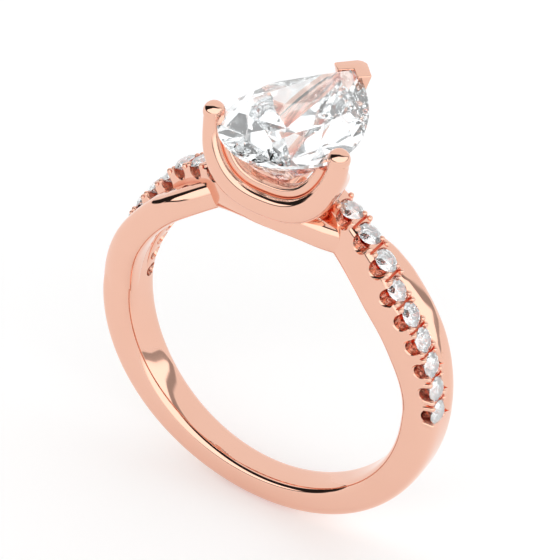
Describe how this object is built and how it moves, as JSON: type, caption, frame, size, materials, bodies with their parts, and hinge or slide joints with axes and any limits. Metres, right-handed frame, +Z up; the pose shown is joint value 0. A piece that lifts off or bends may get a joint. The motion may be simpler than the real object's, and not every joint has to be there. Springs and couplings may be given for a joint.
{
  "type": "engagement ring",
  "caption": "Rose gold engagement ring: pear-cut diamond in a claw cradle, on a shank whose shoulders twist a plain strand round a diamond-set strand.",
  "frame": {"origin": "centre of the finger hole", "axes": "+Y along the finger, from the round end of the centre stone to its point; +Z up through the centre stone; +X towards the right shoulder"},
  "size_m": [0.021, 0.0109, 0.0244],
  "materials": {
    "rose_gold": "polished",
    "diamond": "polished, faceted"
  },
  "bodies": {
    "root": {"shank": "rose_gold", "strand_front": "rose_gold", "strand_back": "rose_gold", "cradle": "rose_gold", "gallery_rail": "rose_gold", "v_claw": "rose_gold", "center_diamond": "diamond", "accent_diamond_left_1": "diamond", "accent_diamond_left_2": "diamond", "accent_diamond_left_3": "diamond", "accent_diamond_left_4": "diamond", "accent_diamond_left_5": "diamond", "accent_diamond_left_6": "diamond", "accent_diamond_left_7": "diamond", "accent_diamond_left_8": "diamond", "accent_diamond_left_9": "diamond", "accent_diamond_right_1": "diamond", "accent_diamond_right_2": "diamond", "accent_diamond_right_3": "diamond", "accent_diamond_right_4": "diamond", "accent_diamond_right_5": "diamond", "accent_diamond_right_6": "diamond", "accent_diamond_right_7": "diamond", "accent_diamond_right_8": "diamond", "accent_diamond_right_9": "diamond"}
  },
  "joints": []
}
